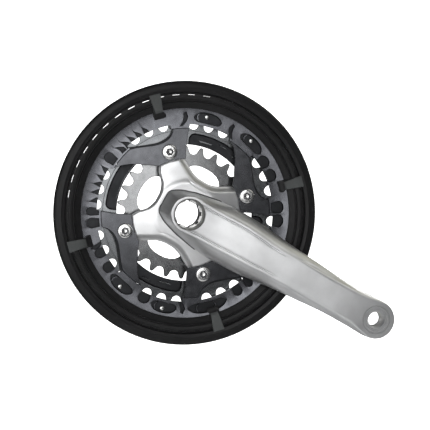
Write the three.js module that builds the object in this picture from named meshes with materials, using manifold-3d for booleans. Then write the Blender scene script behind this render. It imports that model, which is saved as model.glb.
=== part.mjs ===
// Right-hand bicycle crankset for a triple drivetrain: a 175 mm crank arm with a four-arm spider,
// 48-36-26 tooth chainrings and a chain guard. Millimetres, +Z up.
//
// The pieces are designed in the crank plane: x to the right, y up, and z outboard along the spindle
// axis, measured from the face of the boss that seats on the spindle. The whole crankset is then
// turned so that outboard is -Y.

import * as THREE from 'three';
import { mergeVertices } from 'three/addons/utils/BufferGeometryUtils.js';
import Module from 'manifold-3d';

const wasm = await Module();
wasm.setup();

const degrees = THREE.MathUtils.degToRad;

// ---------------------------------------------------------------- driving dimensions

const CHAIN_PITCH = 12.7;
const ROLLER_RADIUS = 7.77 / 2;
const CRANK_LENGTH = 175;
const ARM_DIRECTION = degrees(-29.2);
const BOLT_RADIUS = 104 / 2;            // bolt circle of the outer and middle rings
const INNER_BOLT_RADIUS = 64 / 2;       // bolt circle of the inner ring
const FIT_GAP = 0.3;                    // clearance between pieces that touch
const FASTENER_FACETS = 16;

// Each spider arm stands 45 degrees to one side of the crank arm, or 135.
const BOLT_ANGLES = [45, 135, 225, 315].map((turn) => ARM_DIRECTION + degrees(turn));

// Toothed rings: the phase is the angle of one gap between two teeth.
const OUTER_RING = { teeth: 48, phase: degrees(5.6), middle: 20.2 };
const MIDDLE_RING = { teeth: 36, phase: degrees(4.7), middle: 12.5 };
const INNER_RING = { teeth: 26, phase: degrees(39.7), middle: 5 };
const TOOTH_THICKNESS = 2.3;
const TOOTH_ABOVE_PITCH = 2.9;
const TOOTH_TIP_HALF_WIDTH = 0.9;

// Outer ring: a thick band with pockets carries the thin toothed edge.
const BAND = { inner: 72.8, landing: 69.8, outer: 86, bottom: 17.8, top: 22.4, pocketFloor: 19.6 };
const BAND_DISH = { height: 21.75, from: 79.6, to: 85.7 };   // the band's face rises towards the guard
const TAB_TOP = 20.2;
const PLATE = { inner: 44.6, outer: 69.5, bottom: TAB_TOP + FIT_GAP, top: 22.4 };
const PIN_RADIUS = 80.4;
const PIN_ANGLES = [48, 78, 228, 256].map(degrees);
const PIN_HEAD_RADIUS = 2;
const PIN_FOOT_RADIUS = 2.4;

// Middle ring
const MIDDLE_BODY = { inner: 56.3, outer: 68, bottom: 10.8, top: 14.2, step: 65.5, stepFloor: 12.3 };

// Inner ring
const INNER_WINDOW_RADIUS = 40.7;
const TAB_HEAD_RADIUS = 6.6;

// Spider
const SPIDER = { bore: 17.3, armEnd: 44.2, armTop: 17.5, armBottom: MIDDLE_BODY.top + FIT_GAP };
const POST_RADIUS = 6.4;

// Crank arm
const BOSS_RADIUS = 17;
const SPINDLE_BORE_RADIUS = 13;
const ARM = { bottom: 28, top: 42.6, pedalTop: 53.6, pedalThickness: 15.2 };
const SPLINES = 8;
const SPLINE = { from: 22, to: 31, minor: 10.4, major: 11, halfAngle: degrees(8) };
const THREAD_RADIUS = 11.2;
const PEDAL_HOLE_RADIUS = 7.1;
const PEDAL_SEAT = { radius: 9.6, depth: 0.5 };

// Fasteners
const BOLT = { head: 5.9, headBottom: PLATE.top + FIT_GAP, headHeight: 2, shank: 4, end: 11 };
const SLEEVE = { outer: 4.9, inner: 4.2, head: 6.4, headThickness: 1.5 };
const SLEEVE_HOLE = 5.2;
const SOCKET_ACROSS_FLATS = 6;
const INNER_BOLT = { head: 6, headThickness: 2.6, shank: 3.9, end: 13 };

// Chain guard and the clips that hold it
const GUARD_RADIUS = 107.8;
const GUARD_SLOT = {
  radius: 96.6, width: 1, halfAngle: degrees(2.1), pitch: degrees(7.5), phase: degrees(5.6),
};
const CLIP = { inner: 80, outer: 98.2, halfWidth: 3.8, top: 28.2, underside: 27, foot: 85 };

// ---------------------------------------------------------------- materials

function metal(color, roughness) {
  return new THREE.MeshStandardMaterial({ color, roughness, metalness: 0.85 });
}

function plastic(color, roughness) {
  return new THREE.MeshStandardMaterial({ color, roughness, metalness: 0 });
}

const MATERIALS = {
  silver: metal(0xc4c5c6, 0.38),
  carrier: plastic(0x46484c, 0.5),
  outerRing: metal(0x53565d, 0.45),
  middleRing: metal(0x3b3d42, 0.45),
  innerRing: metal(0x5c6064, 0.5),
  bright: metal(0xd8d8d8, 0.25),
  guard: plastic(0x1d1e20, 0.55),
  clip: plastic(0x3c3e40, 0.6),
};

// ---------------------------------------------------------------- geometry helpers

function polar(radius, angle) {
  return new THREE.Vector2(radius * Math.cos(angle), radius * Math.sin(angle));
}

function arc(radius, from, to, steps) {
  const points = [];
  for (let i = 0; i <= steps; i++) {
    points.push(polar(radius, from + ((to - from) * i) / steps));
  }
  return points;
}

function circle(radius, steps, centre = new THREE.Vector2()) {
  return arc(radius, 0, 2 * Math.PI * (1 - 1 / steps), steps - 1).map((point) => point.add(centre));
}

// Turns a list of [radius, angle in degrees] into points, about the direction `base`.
function polarOutline(pairs, base) {
  return pairs.map(([radius, angle]) => polar(radius, base + degrees(angle)));
}

// A slab with straight walls between two heights.
function slab(outline, bottom, top, holes = []) {
  const shape = new THREE.Shape(outline);
  shape.holes = holes.map((hole) => new THREE.Path(hole));
  const geometry = new THREE.ExtrudeGeometry(shape, { depth: top - bottom, bevelEnabled: false });
  return solid(geometry.translate(0, 0, bottom));
}

// A solid of revolution about z; the profile is a closed list of [radius, height].
function turned(profile, segments) {
  const points = [...profile, profile[0]].map(([radius, height]) => new THREE.Vector2(radius, height));
  return solid(new THREE.LatheGeometry(points, segments).rotateX(Math.PI / 2));
}

function rod(radius, bottom, top, segments, centre = new THREE.Vector2()) {
  const geometry = new THREE.CylinderGeometry(radius, radius, top - bottom, segments);
  geometry.rotateX(Math.PI / 2).translate(centre.x, centre.y, (bottom + top) / 2);
  return solid(geometry);
}

function signedVolume(positions, triangles) {
  const [a, b, c] = [new THREE.Vector3(), new THREE.Vector3(), new THREE.Vector3()];
  let volume = 0;
  for (let i = 0; i < triangles.length; i += 3) {
    a.fromArray(positions, 3 * triangles[i]);
    b.fromArray(positions, 3 * triangles[i + 1]);
    c.fromArray(positions, 3 * triangles[i + 2]);
    volume += a.dot(b.cross(c)) / 6;
  }
  return volume;
}

// Welds a closed geometry into a solid with its faces pointing out.
function solid(geometry) {
  const bare = geometry.clone();
  bare.deleteAttribute('normal');
  bare.deleteAttribute('uv');
  const welded = mergeVertices(bare, 1e-4);
  const positions = welded.attributes.position.array;
  const index = welded.index.array;
  const triangles = [];
  for (let i = 0; i < index.length; i += 3) {
    const corners = [index[i], index[i + 1], index[i + 2]];
    if (new Set(corners).size === 3) triangles.push(...corners);
  }
  if (signedVolume(positions, triangles) < 0) triangles.reverse();
  return new wasm.Manifold(new wasm.Mesh({
    numProp: 3,
    vertProperties: new Float32Array(positions),
    triVerts: new Uint32Array(triangles),
  }));
}

// Joins rings of points, each ring as long as the first, into a closed skin. The rings are
// mirror-symmetric: point i faces point (length - i), so each cap is a strip across the piece.
function loft(rings) {
  const count = rings[0].length;
  const index = [];
  rings.slice(1).forEach((_, level) => {
    for (let i = 0; i < count; i++) {
      const a = level * count + i;
      const b = level * count + ((i + 1) % count);
      index.push(a, b, b + count, a, b + count, a + count);
    }
  });
  const last = (rings.length - 1) * count;
  for (let i = 0; i < count / 2; i++) {
    const quad = [i, i + 1, (count - i - 1) % count, (count - i) % count];
    const [a, b, c, d] = quad;
    index.push(a, c, b, a, d, c);
    index.push(last + a, last + b, last + c, last + a, last + c, last + d);
  }
  const geometry = new THREE.BufferGeometry();
  geometry.setAttribute('position', new THREE.Float32BufferAttribute(rings.flat(2), 3));
  geometry.setIndex(index);
  return solid(geometry);
}

function named(name, piece, material) {
  const { numProp, vertProperties, triVerts } = piece.getMesh();
  const positions = [];
  for (let i = 0; i < vertProperties.length; i += numProp) {
    positions.push(vertProperties[i], vertProperties[i + 1], vertProperties[i + 2]);
  }
  const geometry = new THREE.BufferGeometry();
  geometry.setAttribute('position', new THREE.Float32BufferAttribute(positions, 3));
  geometry.setIndex(Array.from(triVerts));
  geometry.computeVertexNormals();
  const mesh = new THREE.Mesh(geometry, material);
  mesh.name = name;
  return mesh;
}

// Straight-line interpolation in a table of [position, value].
function lookUp(table, position) {
  const next = table.findIndex(([at]) => at >= position);
  if (next === -1) return table[table.length - 1][1];
  if (next === 0) return table[0][1];
  const [[x0, y0], [x1, y1]] = [table[next - 1], table[next]];
  return y0 + ((y1 - y0) * (position - x0)) / (x1 - x0);
}

// ---------------------------------------------------------------- chainrings

// Outline of a chain wheel: a round seat for each roller, then a tooth with a blunt tip.
function toothedOutline({ teeth, phase }) {
  const pitchRadius = CHAIN_PITCH / (2 * Math.sin(Math.PI / teeth));
  const halfTooth = Math.PI / teeth;
  const tipRadius = pitchRadius + TOOTH_ABOVE_PITCH;
  const tipSwing = TOOTH_TIP_HALF_WIDTH / tipRadius;
  const points = [];
  for (let i = 0; i < teeth; i++) {
    const middle = phase + 2 * i * halfTooth;
    for (const swing of [-64, -22, 22, 64].map(degrees)) {
      const seat = polar(ROLLER_RADIUS, middle + Math.PI - swing);
      points.push(polar(pitchRadius, middle).add(seat));
    }
    points.push(polar(tipRadius, middle + halfTooth - tipSwing));
    points.push(polar(tipRadius, middle + halfTooth + tipSwing));
  }
  return points;
}

function toothLevels({ middle }) {
  return [middle - TOOTH_THICKNESS / 2, middle + TOOTH_THICKNESS / 2];
}

// The tab reaches in from the ring to the bolt, under the carrier plate.
const TAB_OUTLINE = [
  [46, -13], [58, -13.5], [74.5, -16], [74.5, -7], [68, -6.4], [64.6, -3.6], [62.3, 2], [62.2, 7.5],
  [65.2, 15.5], [70.8, 25], [74.5, 28], [74.5, 40], [67.5, 37.8], [61.5, 31.6], [54, 24.6],
  [48, 16.6], [46, 12],
];

// Where the carrier plates land on the band, in degrees from each bolt.
const LANDINGS = [[-17.5, -5.5], [26, 43]];

function bandInnerEdge() {
  const points = [];
  BOLT_ANGLES.forEach((bolt) => {
    LANDINGS.forEach(([from, to], which) => {
      const next = which === 0 ? LANDINGS[1][0] : 90 + LANDINGS[0][0];
      points.push(...arc(BAND.landing, bolt + degrees(from), bolt + degrees(to), 3));
      points.push(...arc(BAND.inner, bolt + degrees(to + 0.4), bolt + degrees(next - 0.4), 6));
    });
  });
  return points;
}

// Pockets in the band, in degrees. Lenses lie round the chain pins and beside the lower clip, scoops
// are round notches in the inner edge, and wedges are the gaps between the ramps that lift the chain.
const LENSES = [[38.5, 55.5], [68.5, 86], [219, 236], [248.5, 264.5], [271, 296]];
const SCOOPS = [
  [24.2, 6.6], [34, 7], [-4.6, 8], [3.8, 7.4], [204.6, 6.4], [214.6, 6.8], [243.4, 7.6], [304, 6.4],
];
const CLOSED_SCOOPS = [[144.4, 6.6], [178.8, 5.4], [185.8, 6.6], [312.5, 5.5]];
const WEDGES = [
  [118, 116.6], [123.4, 121.6], [128.4, 126.4], [133.3, 130.8], [138.3, 135.2], [150.6, 152],
  [156.6, 157.2], [162.2, 161.4], [167.5, 166.4], [173, 171.6],
];
const OPEN_INNER = BAND.inner - 4;      // a pocket that starts here is open to the inner edge
const CLOSED_INNER = BAND.inner + 0.8;

function lensPocket([from, to]) {
  const [low, high] = [degrees(from), degrees(to)];
  const middle = (low + high) / 2;
  const quarter = (high - low) / 4;
  return [
    polar(77, low), polar(75.2, middle - quarter), polar(74.8, middle), polar(75.2, middle + quarter),
    polar(77, high), polar(81.5, high - quarter / 3), polar(83.4, middle), polar(81.5, low + quarter / 3),
  ];
}

function scoopPocket([middle, width], inner) {
  const rim = [[inner, 0.43], [77.2, 0.5], [80, 0.38], [81.6, 0.13]];
  const swings = [...rim, ...rim.map(([radius, share]) => [radius, -share]).reverse()];
  return polarOutline(swings.map(([radius, share]) => [radius, share * width]), degrees(middle));
}

function wedgePocket([tip, root]) {
  return polarOutline([[OPEN_INNER, root - 1.5], [79.9, tip], [OPEN_INNER, root + 1.5]], 0);
}

function pocketOutlines() {
  return [
    ...LENSES.map(lensPocket),
    ...SCOOPS.map((scoop) => scoopPocket(scoop, OPEN_INNER)),
    ...CLOSED_SCOOPS.map((scoop) => scoopPocket(scoop, CLOSED_INNER)),
    ...WEDGES.map(wedgePocket),
  ];
}

function makeOuterRing() {
  const innerEdge = circle(BAND.inner + 4, 36);
  let ring = slab(toothedOutline(OUTER_RING), ...toothLevels(OUTER_RING), [innerEdge]);
  ring = ring.add(slab(circle(BAND.outer, 72), BAND.bottom, BAND.top, [bandInnerEdge()]));
  ring = ring.subtract(turned([
    [60, BAND_DISH.height], [BAND_DISH.from, BAND_DISH.height], [BAND_DISH.to, BAND.top],
    [BAND_DISH.to, BAND.top + 1], [60, BAND.top + 1],
  ], 72));
  BOLT_ANGLES.forEach((bolt) => {
    const centre = polar(BOLT_RADIUS, bolt);
    ring = ring.add(slab(polarOutline(TAB_OUTLINE, bolt), BAND.bottom, TAB_TOP));
    ring = ring.subtract(rod(SLEEVE_HOLE, BAND.bottom - 1, TAB_TOP + 1, FASTENER_FACETS, centre));
  });
  pocketOutlines().forEach((pocket) => {
    ring = ring.subtract(slab(pocket, BAND.pocketFloor, BAND.top + 1));
  });
  PIN_ANGLES.forEach((angle) => {
    ring = ring.subtract(rod(1.5, BAND.bottom - 1, BAND.top + 1, 12, polar(PIN_RADIUS, angle)));
  });
  return ring;
}

// The carrier plate is a curved blade: one straight side, one swept side and a hollow outer edge.
const PLATE_OUTLINE = [
  [PLATE.inner, -15], [57, -15.8], [PLATE.outer, -17.4], [PLATE.outer, -11], [PLATE.outer, -6.4],
  [66.4, -5.4], [63.2, -3], [61.2, 0.6], [60.5, 4.6], [61, 9], [62.6, 13.6], [65.6, 19.4],
  [PLATE.outer, 26], [PLATE.outer, 31.5], [PLATE.outer, 37], [PLATE.outer, 42.4], [65.4, 38],
  [61, 33.6], [56.8, 29.8], [53, 26.2], [49.8, 22], [47, 18.4], [PLATE.inner, 15],
  [PLATE.inner, 7.5], [PLATE.inner, 0], [PLATE.inner, -7.5],
];

function makeCarrierPlate(bolt) {
  const hole = circle(BOLT.shank + FIT_GAP, FASTENER_FACETS, polar(BOLT_RADIUS, bolt));
  return slab(polarOutline(PLATE_OUTLINE, bolt), PLATE.bottom, PLATE.top, [hole]);
}

function makeMiddleRing() {
  const innerEdge = circle(MIDDLE_BODY.inner + 4, 24);
  let ring = slab(toothedOutline(MIDDLE_RING), ...toothLevels(MIDDLE_RING), [innerEdge]);
  const body = slab(circle(MIDDLE_BODY.outer, 48), MIDDLE_BODY.bottom, MIDDLE_BODY.top,
    [circle(MIDDLE_BODY.inner, 48)]);
  ring = ring.add(body);
  BOLT_ANGLES.forEach((bolt) => {
    const centre = polar(BOLT_RADIUS, bolt);
    const tab = [[44.5, -8], [50, -10], [58, -13], [58, 13], [50, 10], [44.5, 8], [44, 0]];
    ring = ring.add(slab(polarOutline(tab, bolt), MIDDLE_BODY.bottom, MIDDLE_BODY.top));
    ring = ring.subtract(
      rod(SLEEVE_HOLE, MIDDLE_BODY.bottom - 1, MIDDLE_BODY.top + 1, FASTENER_FACETS, centre));
    const recess = [
      ...arc(MIDDLE_BODY.step, bolt + degrees(20), bolt + degrees(70), 12),
      ...arc(MIDDLE_BODY.inner - 1, bolt + degrees(73), bolt + degrees(17), 12),
    ];
    ring = ring.subtract(slab(recess, MIDDLE_BODY.stepFloor, MIDDLE_BODY.top + 1));
  });
  return ring;
}

// The opening of the inner ring between two tabs, and the round head of each tab.
function innerRingOpening() {
  const points = [];
  BOLT_ANGLES.forEach((bolt) => {
    const centre = polar(INNER_BOLT_RADIUS, bolt);
    for (let i = -3; i <= 3; i++) {
      points.push(polar(TAB_HEAD_RADIUS, bolt + Math.PI - degrees(26 * i)).add(centre));
    }
    const window = [[34.6, 16.5], [37.4, 21], [39.4, 27], [40.5, 33], [INNER_WINDOW_RADIUS, 39]];
    points.push(...polarOutline(window, bolt));
    points.push(...polarOutline([[INNER_WINDOW_RADIUS, 45]], bolt));
    points.push(...polarOutline(window.map(([radius, angle]) => [radius, 90 - angle]).reverse(), bolt));
  });
  return points;
}

function makeInnerRing() {
  let ring = slab(toothedOutline(INNER_RING), ...toothLevels(INNER_RING), [innerRingOpening()]);
  BOLT_ANGLES.forEach((bolt) => {
    ring = ring.subtract(rod(INNER_BOLT.shank + FIT_GAP, 0, 10, 16, polar(INNER_BOLT_RADIUS, bolt)));
  });
  return ring;
}

// ---------------------------------------------------------------- spider

// Edge of the opening between two spider arms, as [radius, degrees from its middle].
function spiderWindow(nearRadius) {
  const side = [
    [nearRadius + 0.5, 8], [nearRadius + 2.4, 16], [nearRadius + 6.4, 23], [40, 27.8], [SPIDER.armEnd, 31],
  ];
  const mirrored = side.map(([radius, angle]) => [radius, -angle]).reverse();
  return [...mirrored, [nearRadius, 0], ...side];
}

function spiderOutline() {
  const points = [];
  const nearRadii = [29.5, 26.5, 29.5, 26.5];   // the flanks beside the crank arm are wider
  BOLT_ANGLES.forEach((bolt, i) => {
    const tip = [[50, -11.6], [54, -9.6], [57, -6], [58.4, 0], [57, 6], [54, 9.6], [50, 11.6]];
    points.push(...polarOutline(tip, bolt));
    points.push(...polarOutline([...spiderWindow(nearRadii[i])].reverse()
      .map(([radius, angle]) => [radius, -angle]), bolt + Math.PI / 4));
  });
  return points.filter((point, i) => i === 0 || point.distanceTo(points[i - 1]) > 0.01);
}

function makeSpider() {
  const { bore, armEnd, armTop, armBottom } = SPIDER;
  const envelope = turned([
    [bore, 7], [24, 7], [27, armBottom], [60, armBottom], [60, armTop], [armEnd, armTop],
    [armEnd, PLATE.top], [34, 24.9], [24, 27.6], [bore, 27.6],
  ], 36);
  let spider = slab(spiderOutline(), 6, 30).intersect(envelope);
  const postBottom = toothLevels(INNER_RING)[1] + FIT_GAP;
  BOLT_ANGLES.forEach((bolt) => {
    const innerBolt = polar(INNER_BOLT_RADIUS, bolt);
    spider = spider.add(rod(POST_RADIUS, postBottom, armBottom + 1, 16, innerBolt));
    spider = spider.subtract(rod(INNER_BOLT.shank + FIT_GAP, 0, INNER_BOLT.end + 1, 16, innerBolt));
    spider = spider.subtract(
      rod(SLEEVE_HOLE, armBottom - 1, armTop + 1, FASTENER_FACETS, polar(BOLT_RADIUS, bolt)));
  });
  return spider;
}

// ---------------------------------------------------------------- crank arm

// Half widths of the arm at its foot and at its face, along the arm from the spindle axis.
const FOOT_HALF_WIDTH = [
  [-21.8, 8.9], [-13, 14.3], [-6, 16.6], [0, 18.4], [14, 21], [28, 23], [38, 23.4], [55, 22.9],
  [75, 21], [101, 18.4], [125, 16.5], [148, 16.1], [CRANK_LENGTH, 16.6],
];
const FACE_HALF_WIDTH = [
  [-14.6, 2.4], [-13, 7], [-9.5, 11.3], [-5, 13.9], [0, 14.8], [7, 14.2], [30, 14], [55, 13.5],
  [75, 12.2], [101, 11.9], [125, 12.3], [148, 13.4], [CRANK_LENGTH, 15.8],
];
const UNDERSIDE = [[45, ARM.bottom], [165, ARM.pedalTop - ARM.pedalThickness]];
const TOP = [[12, ARM.top], [163, ARM.pedalTop]];

// One edge of the arm as points [along, across], clockwise from the boss end round the pedal end.
function armEdge(table) {
  const endRadius = table[table.length - 1][1];
  const side = table.map(([along, half]) => [along, half]);
  for (const turn of [72, 54, 36, 18].map(degrees)) {
    side.push([CRANK_LENGTH + endRadius * Math.cos(turn), endRadius * Math.sin(turn)]);
  }
  const mirrored = side.map(([along, half]) => [along, -half]).reverse();
  const start = [side[0][0], 0];
  const end = [CRANK_LENGTH + endRadius, 0];
  return [start, ...mirrored.reverse(), end, ...side.reverse()];
}

function mix(a, b, share) {
  return a + (b - a) * share;
}

function armRing(share, height) {
  const foot = armEdge(FOOT_HALF_WIDTH);
  const face = armEdge(FACE_HALF_WIDTH);
  return foot.map(([along, across], i) => {
    const s = mix(along, face[i][0], share);
    const w = mix(across, face[i][1], share);
    const cos = Math.cos(ARM_DIRECTION);
    const sin = Math.sin(ARM_DIRECTION);
    return [s * cos - w * sin, s * sin + w * cos, mix(lookUp(UNDERSIDE, s), lookUp(TOP, s), height)];
  });
}

function splineOutline() {
  const points = [];
  const { minor, major, halfAngle } = SPLINE;
  for (let i = 0; i < SPLINES; i++) {
    const middle = (2 * Math.PI * i) / SPLINES;
    points.push(polar(minor, middle - halfAngle), polar(major, middle - halfAngle));
    points.push(polar(major, middle + halfAngle), polar(minor, middle + halfAngle));
    points.push(polar(minor, middle + Math.PI / SPLINES));
  }
  return points;
}

function makeCrankArm() {
  const section = [[0, 0], [0.04, 0.08], [0.84, 0.84], [0.94, 0.97], [1.02, 1]];
  let arm = loft(section.map(([share, height]) => armRing(share, height)));
  arm = arm.add(rod(BOSS_RADIUS, 0, ARM.bottom + 1, 48));
  arm = arm.subtract(rod(SPINDLE_BORE_RADIUS, -1, SPLINE.from, 40));
  arm = arm.subtract(slab(splineOutline(), SPLINE.from - 0.5, SPLINE.to + 0.5));
  arm = arm.subtract(turned([
    [0, SPLINE.to], [THREAD_RADIUS, SPLINE.to], [THREAD_RADIUS, ARM.top - 2], [12.9, ARM.top - 0.4],
    [12.9, ARM.top + 1], [0, ARM.top + 1],
  ], 40));
  const pedal = polar(CRANK_LENGTH, ARM_DIRECTION);
  const seat = ARM.pedalTop - PEDAL_SEAT.depth;
  arm = arm.subtract(rod(PEDAL_HOLE_RADIUS, 30, 60, 28, pedal));
  return arm.subtract(rod(PEDAL_SEAT.radius, seat, 60, 32, pedal));
}

// ---------------------------------------------------------------- fasteners

function hexSocket(bottom, top, centre, turn) {
  const corner = SOCKET_ACROSS_FLATS / 2 / Math.cos(Math.PI / 6);
  const outline = [0, 1, 2, 3, 4, 5].map((i) => polar(corner, turn + (i * Math.PI) / 3).add(centre));
  return slab(outline, bottom, top);
}

function makeChainringBolt(bolt) {
  const { head, headBottom, headHeight, shank, end } = BOLT;
  const top = headBottom + headHeight;
  const body = turned([
    [0, end], [shank, end], [shank, headBottom], [head, headBottom], [head, headBottom + 0.7],
    [head * 0.88, top - 0.5], [head * 0.62, top], [0, top],
  ], FASTENER_FACETS);
  const centre = polar(BOLT_RADIUS, bolt);
  return body.translate([centre.x, centre.y, 0]).subtract(hexSocket(top - 3, top + 1, centre, bolt));
}

function makeChainringNut(bolt) {
  const { outer, inner, head, headThickness } = SLEEVE;
  const seat = MIDDLE_BODY.bottom - FIT_GAP;
  const body = turned([
    [inner, seat - headThickness], [head, seat - headThickness], [head, seat], [outer, seat],
    [outer, SPIDER.armTop], [inner, SPIDER.armTop],
  ], FASTENER_FACETS);
  const centre = polar(BOLT_RADIUS, bolt);
  return body.translate([centre.x, centre.y, 0]);
}

function makeInnerRingBolt(bolt) {
  const { head, headThickness, shank, end } = INNER_BOLT;
  const seat = toothLevels(INNER_RING)[0] - FIT_GAP;
  const bottom = seat - headThickness;
  const body = turned([
    [0, bottom], [head * 0.7, bottom], [head, bottom + 0.8], [head, seat], [shank, seat],
    [shank, end], [0, end],
  ], FASTENER_FACETS);
  const centre = polar(INNER_BOLT_RADIUS, bolt);
  return body.translate([centre.x, centre.y, 0]).subtract(hexSocket(bottom - 1, bottom + 1.8, centre, bolt));
}

function makeChainPin(angle) {
  const centre = polar(PIN_RADIUS, angle);
  const head = rod(PIN_HEAD_RADIUS, BAND.pocketFloor + FIT_GAP, BAND.pocketFloor + 1.4, 14, centre);
  const foot = rod(PIN_FOOT_RADIUS, BAND.bottom - 2.6, BAND.bottom - FIT_GAP, 14, centre);
  return head.add(foot).add(rod(1.2, BAND.bottom - 1, BAND.pocketFloor + 1, 10, centre));
}

// ---------------------------------------------------------------- chain guard

const GUARD_PROFILE = [
  [85.6, 22.8], [87.4, 22.7], [91.6, 24.6], [103.4, 24.8], [105.4, 22.9], [GUARD_RADIUS, 24],
  [GUARD_RADIUS, 26], [105.6, 27.6], [101.5, 28], [98.7, 27.4], [98.1, 25.8], [97.3, 25.8],
  [96.3, 26.6], [90.6, 26.2], [85.7, 23.7],
];

// One narrow slot through the guard, along its circle.
function guardSlot(middle) {
  const { radius, width, halfAngle } = GUARD_SLOT;
  const outline = [
    polar(radius - width / 2, middle - halfAngle), polar(radius + width / 2, middle - halfAngle),
    polar(radius + width / 2, middle + halfAngle), polar(radius - width / 2, middle + halfAngle),
  ];
  return slab(outline, 22, 28);
}

function makeGuard() {
  let guard = turned(GUARD_PROFILE, 60);
  for (let turn = GUARD_SLOT.phase; turn < 2 * Math.PI; turn += GUARD_SLOT.pitch) {
    guard = guard.subtract(guardSlot(turn));
  }
  return guard;
}

// A clip is a bar across the guard's inner face with a foot that hooks down to the ring.
function makeGuardClip(bolt) {
  const { inner, outer, halfWidth, top, underside, foot } = CLIP;
  const side = [
    [inner, BAND.top + FIT_GAP], [foot, BAND.top + FIT_GAP], [foot, underside - 1], [90, underside],
    [outer, underside], [outer, top - 0.6], [outer - 1, top], [90, top], [inner + 1, top - 2],
    [inner, top - 3],
  ];
  const geometry = new THREE.ExtrudeGeometry(
    new THREE.Shape(side.map(([radius, height]) => new THREE.Vector2(radius, height))),
    { depth: 2 * halfWidth, bevelEnabled: false });
  geometry.translate(0, 0, -halfWidth).rotateX(Math.PI / 2).rotateZ(bolt);
  return solid(geometry);
}

// ---------------------------------------------------------------- assembly

const crankset = new THREE.Group();
crankset.rotation.x = Math.PI / 2;

crankset.add(
  named('crank_arm', makeCrankArm(), MATERIALS.silver),
  named('spider', makeSpider(), MATERIALS.silver),
  named('outer_chainring', makeOuterRing(), MATERIALS.outerRing),
  named('middle_chainring', makeMiddleRing(), MATERIALS.middleRing),
  named('inner_chainring', makeInnerRing(), MATERIALS.innerRing),
  named('chain_guard', makeGuard(), MATERIALS.guard),
);

BOLT_ANGLES.forEach((bolt, i) => {
  const number = i + 1;
  crankset.add(
    named(`carrier_plate_${number}`, makeCarrierPlate(bolt), MATERIALS.carrier),
    named(`chainring_bolt_${number}`, makeChainringBolt(bolt), MATERIALS.bright),
    named(`chainring_nut_${number}`, makeChainringNut(bolt), MATERIALS.bright),
    named(`inner_ring_bolt_${number}`, makeInnerRingBolt(bolt), MATERIALS.bright),
    named(`guard_clip_${number}`, makeGuardClip(bolt), MATERIALS.clip),
  );
});

PIN_ANGLES.forEach((angle, i) => {
  crankset.add(named(`chain_pin_${i + 1}`, makeChainPin(angle), MATERIALS.bright));
});

const model = new THREE.Group();
model.add(crankset);

export default model;
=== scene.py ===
"""Looks of the bicycle crankset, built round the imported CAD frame.

Shapes are designed in the crank plane in millimetres: x to the right, y up and z outboard from the
spindle seat. place() turns them into the frame's own axes, where outboard is -Y and up is +Z.
"""

import math

import bmesh
import bpy
import numpy as np
from mathutils import Matrix, Vector
from mathutils.geometry import tessellate_polygon


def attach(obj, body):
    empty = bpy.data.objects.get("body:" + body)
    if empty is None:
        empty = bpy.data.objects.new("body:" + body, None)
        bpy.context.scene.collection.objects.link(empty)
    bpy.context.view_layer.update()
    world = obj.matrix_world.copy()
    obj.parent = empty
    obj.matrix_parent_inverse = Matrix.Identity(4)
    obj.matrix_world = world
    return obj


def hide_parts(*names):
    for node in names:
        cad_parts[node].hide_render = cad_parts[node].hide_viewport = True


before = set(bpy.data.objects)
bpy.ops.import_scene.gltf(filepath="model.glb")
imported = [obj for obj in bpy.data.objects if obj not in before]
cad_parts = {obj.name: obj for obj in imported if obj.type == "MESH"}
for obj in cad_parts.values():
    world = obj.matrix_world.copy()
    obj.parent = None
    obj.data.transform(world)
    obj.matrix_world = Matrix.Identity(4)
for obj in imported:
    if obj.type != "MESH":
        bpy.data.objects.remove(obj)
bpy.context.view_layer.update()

MM = 0.001
BODY = "root"

# ------------------------------------------------------------------ shared sizes, as in the CAD

CHAIN_PITCH = 12.7
ROLLER_RADIUS = 7.77 / 2
CRANK_LENGTH = 175
ARM_DIRECTION = math.radians(-29.2)
BOLT_RADIUS = 52
INNER_BOLT_RADIUS = 32
BOLT_ANGLES = [ARM_DIRECTION + math.radians(turn) for turn in (45, 135, 225, 315)]
NUMBERS = (1, 2, 3, 4)

OUTER_RING = {"teeth": 48, "phase": math.radians(5.6), "middle": 20.2}
MIDDLE_RING = {"teeth": 36, "phase": math.radians(4.7), "middle": 12.5}
INNER_RING = {"teeth": 26, "phase": math.radians(39.7), "middle": 5.0}
TOOTH_THICKNESS = 2.3
TOOTH_ABOVE_PITCH = 2.9

BAND = {"inner": 72.8, "landing": 69.8, "outer": 86.0, "bottom": 17.8, "top": 22.4, "floor": 19.6}
TAB_TOP = 20.2
PLATE = {"inner": 44.6, "outer": 69.5, "bottom": 20.5, "top": 22.4}
MIDDLE_BODY = {"inner": 56.3, "outer": 68.0, "bottom": 10.8, "top": 14.2}
SPIDER = {"bore": 17.3, "arm_end": 44.2, "arm_top": 17.5, "arm_bottom": 14.5}
SPLINE = {"from": 22.0, "to": 31.0, "minor": 9.9, "major": 11.2}


# ------------------------------------------------------------------ camera

def add_camera():
    """Close camera, up and to the left of the spindle axis, turned towards the arm."""
    heading, pitch, roll = math.radians(9.34), math.radians(-2.97), math.radians(0.49)
    data = bpy.data.cameras.new("camera")
    data.sensor_width = 36
    data.lens = 89.97
    camera = bpy.data.objects.new("camera", data)
    camera.location = Vector((-119.2, -891.3, 44.4)) * MM
    turn = Matrix.Rotation(-heading, 3, "Z") @ Matrix.Rotation(math.pi / 2 + pitch, 3, "X")
    camera.rotation_euler = (turn @ Matrix.Rotation(roll, 3, "Z")).to_euler()
    bpy.context.scene.collection.objects.link(camera)
    bpy.context.scene.camera = camera


add_camera()


# ------------------------------------------------------------------ mesh helpers

def polar(radius, angle):
    """Points in the plane; radius and angle may be arrays."""
    return np.stack([radius * np.cos(angle), radius * np.sin(angle)], axis=-1)


def polar_outline(pairs, base=0.0):
    """Turns [radius, degrees] pairs into points about the direction base."""
    table = np.array(pairs, float)
    return polar(table[:, 0], base + np.radians(table[:, 1]))


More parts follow.
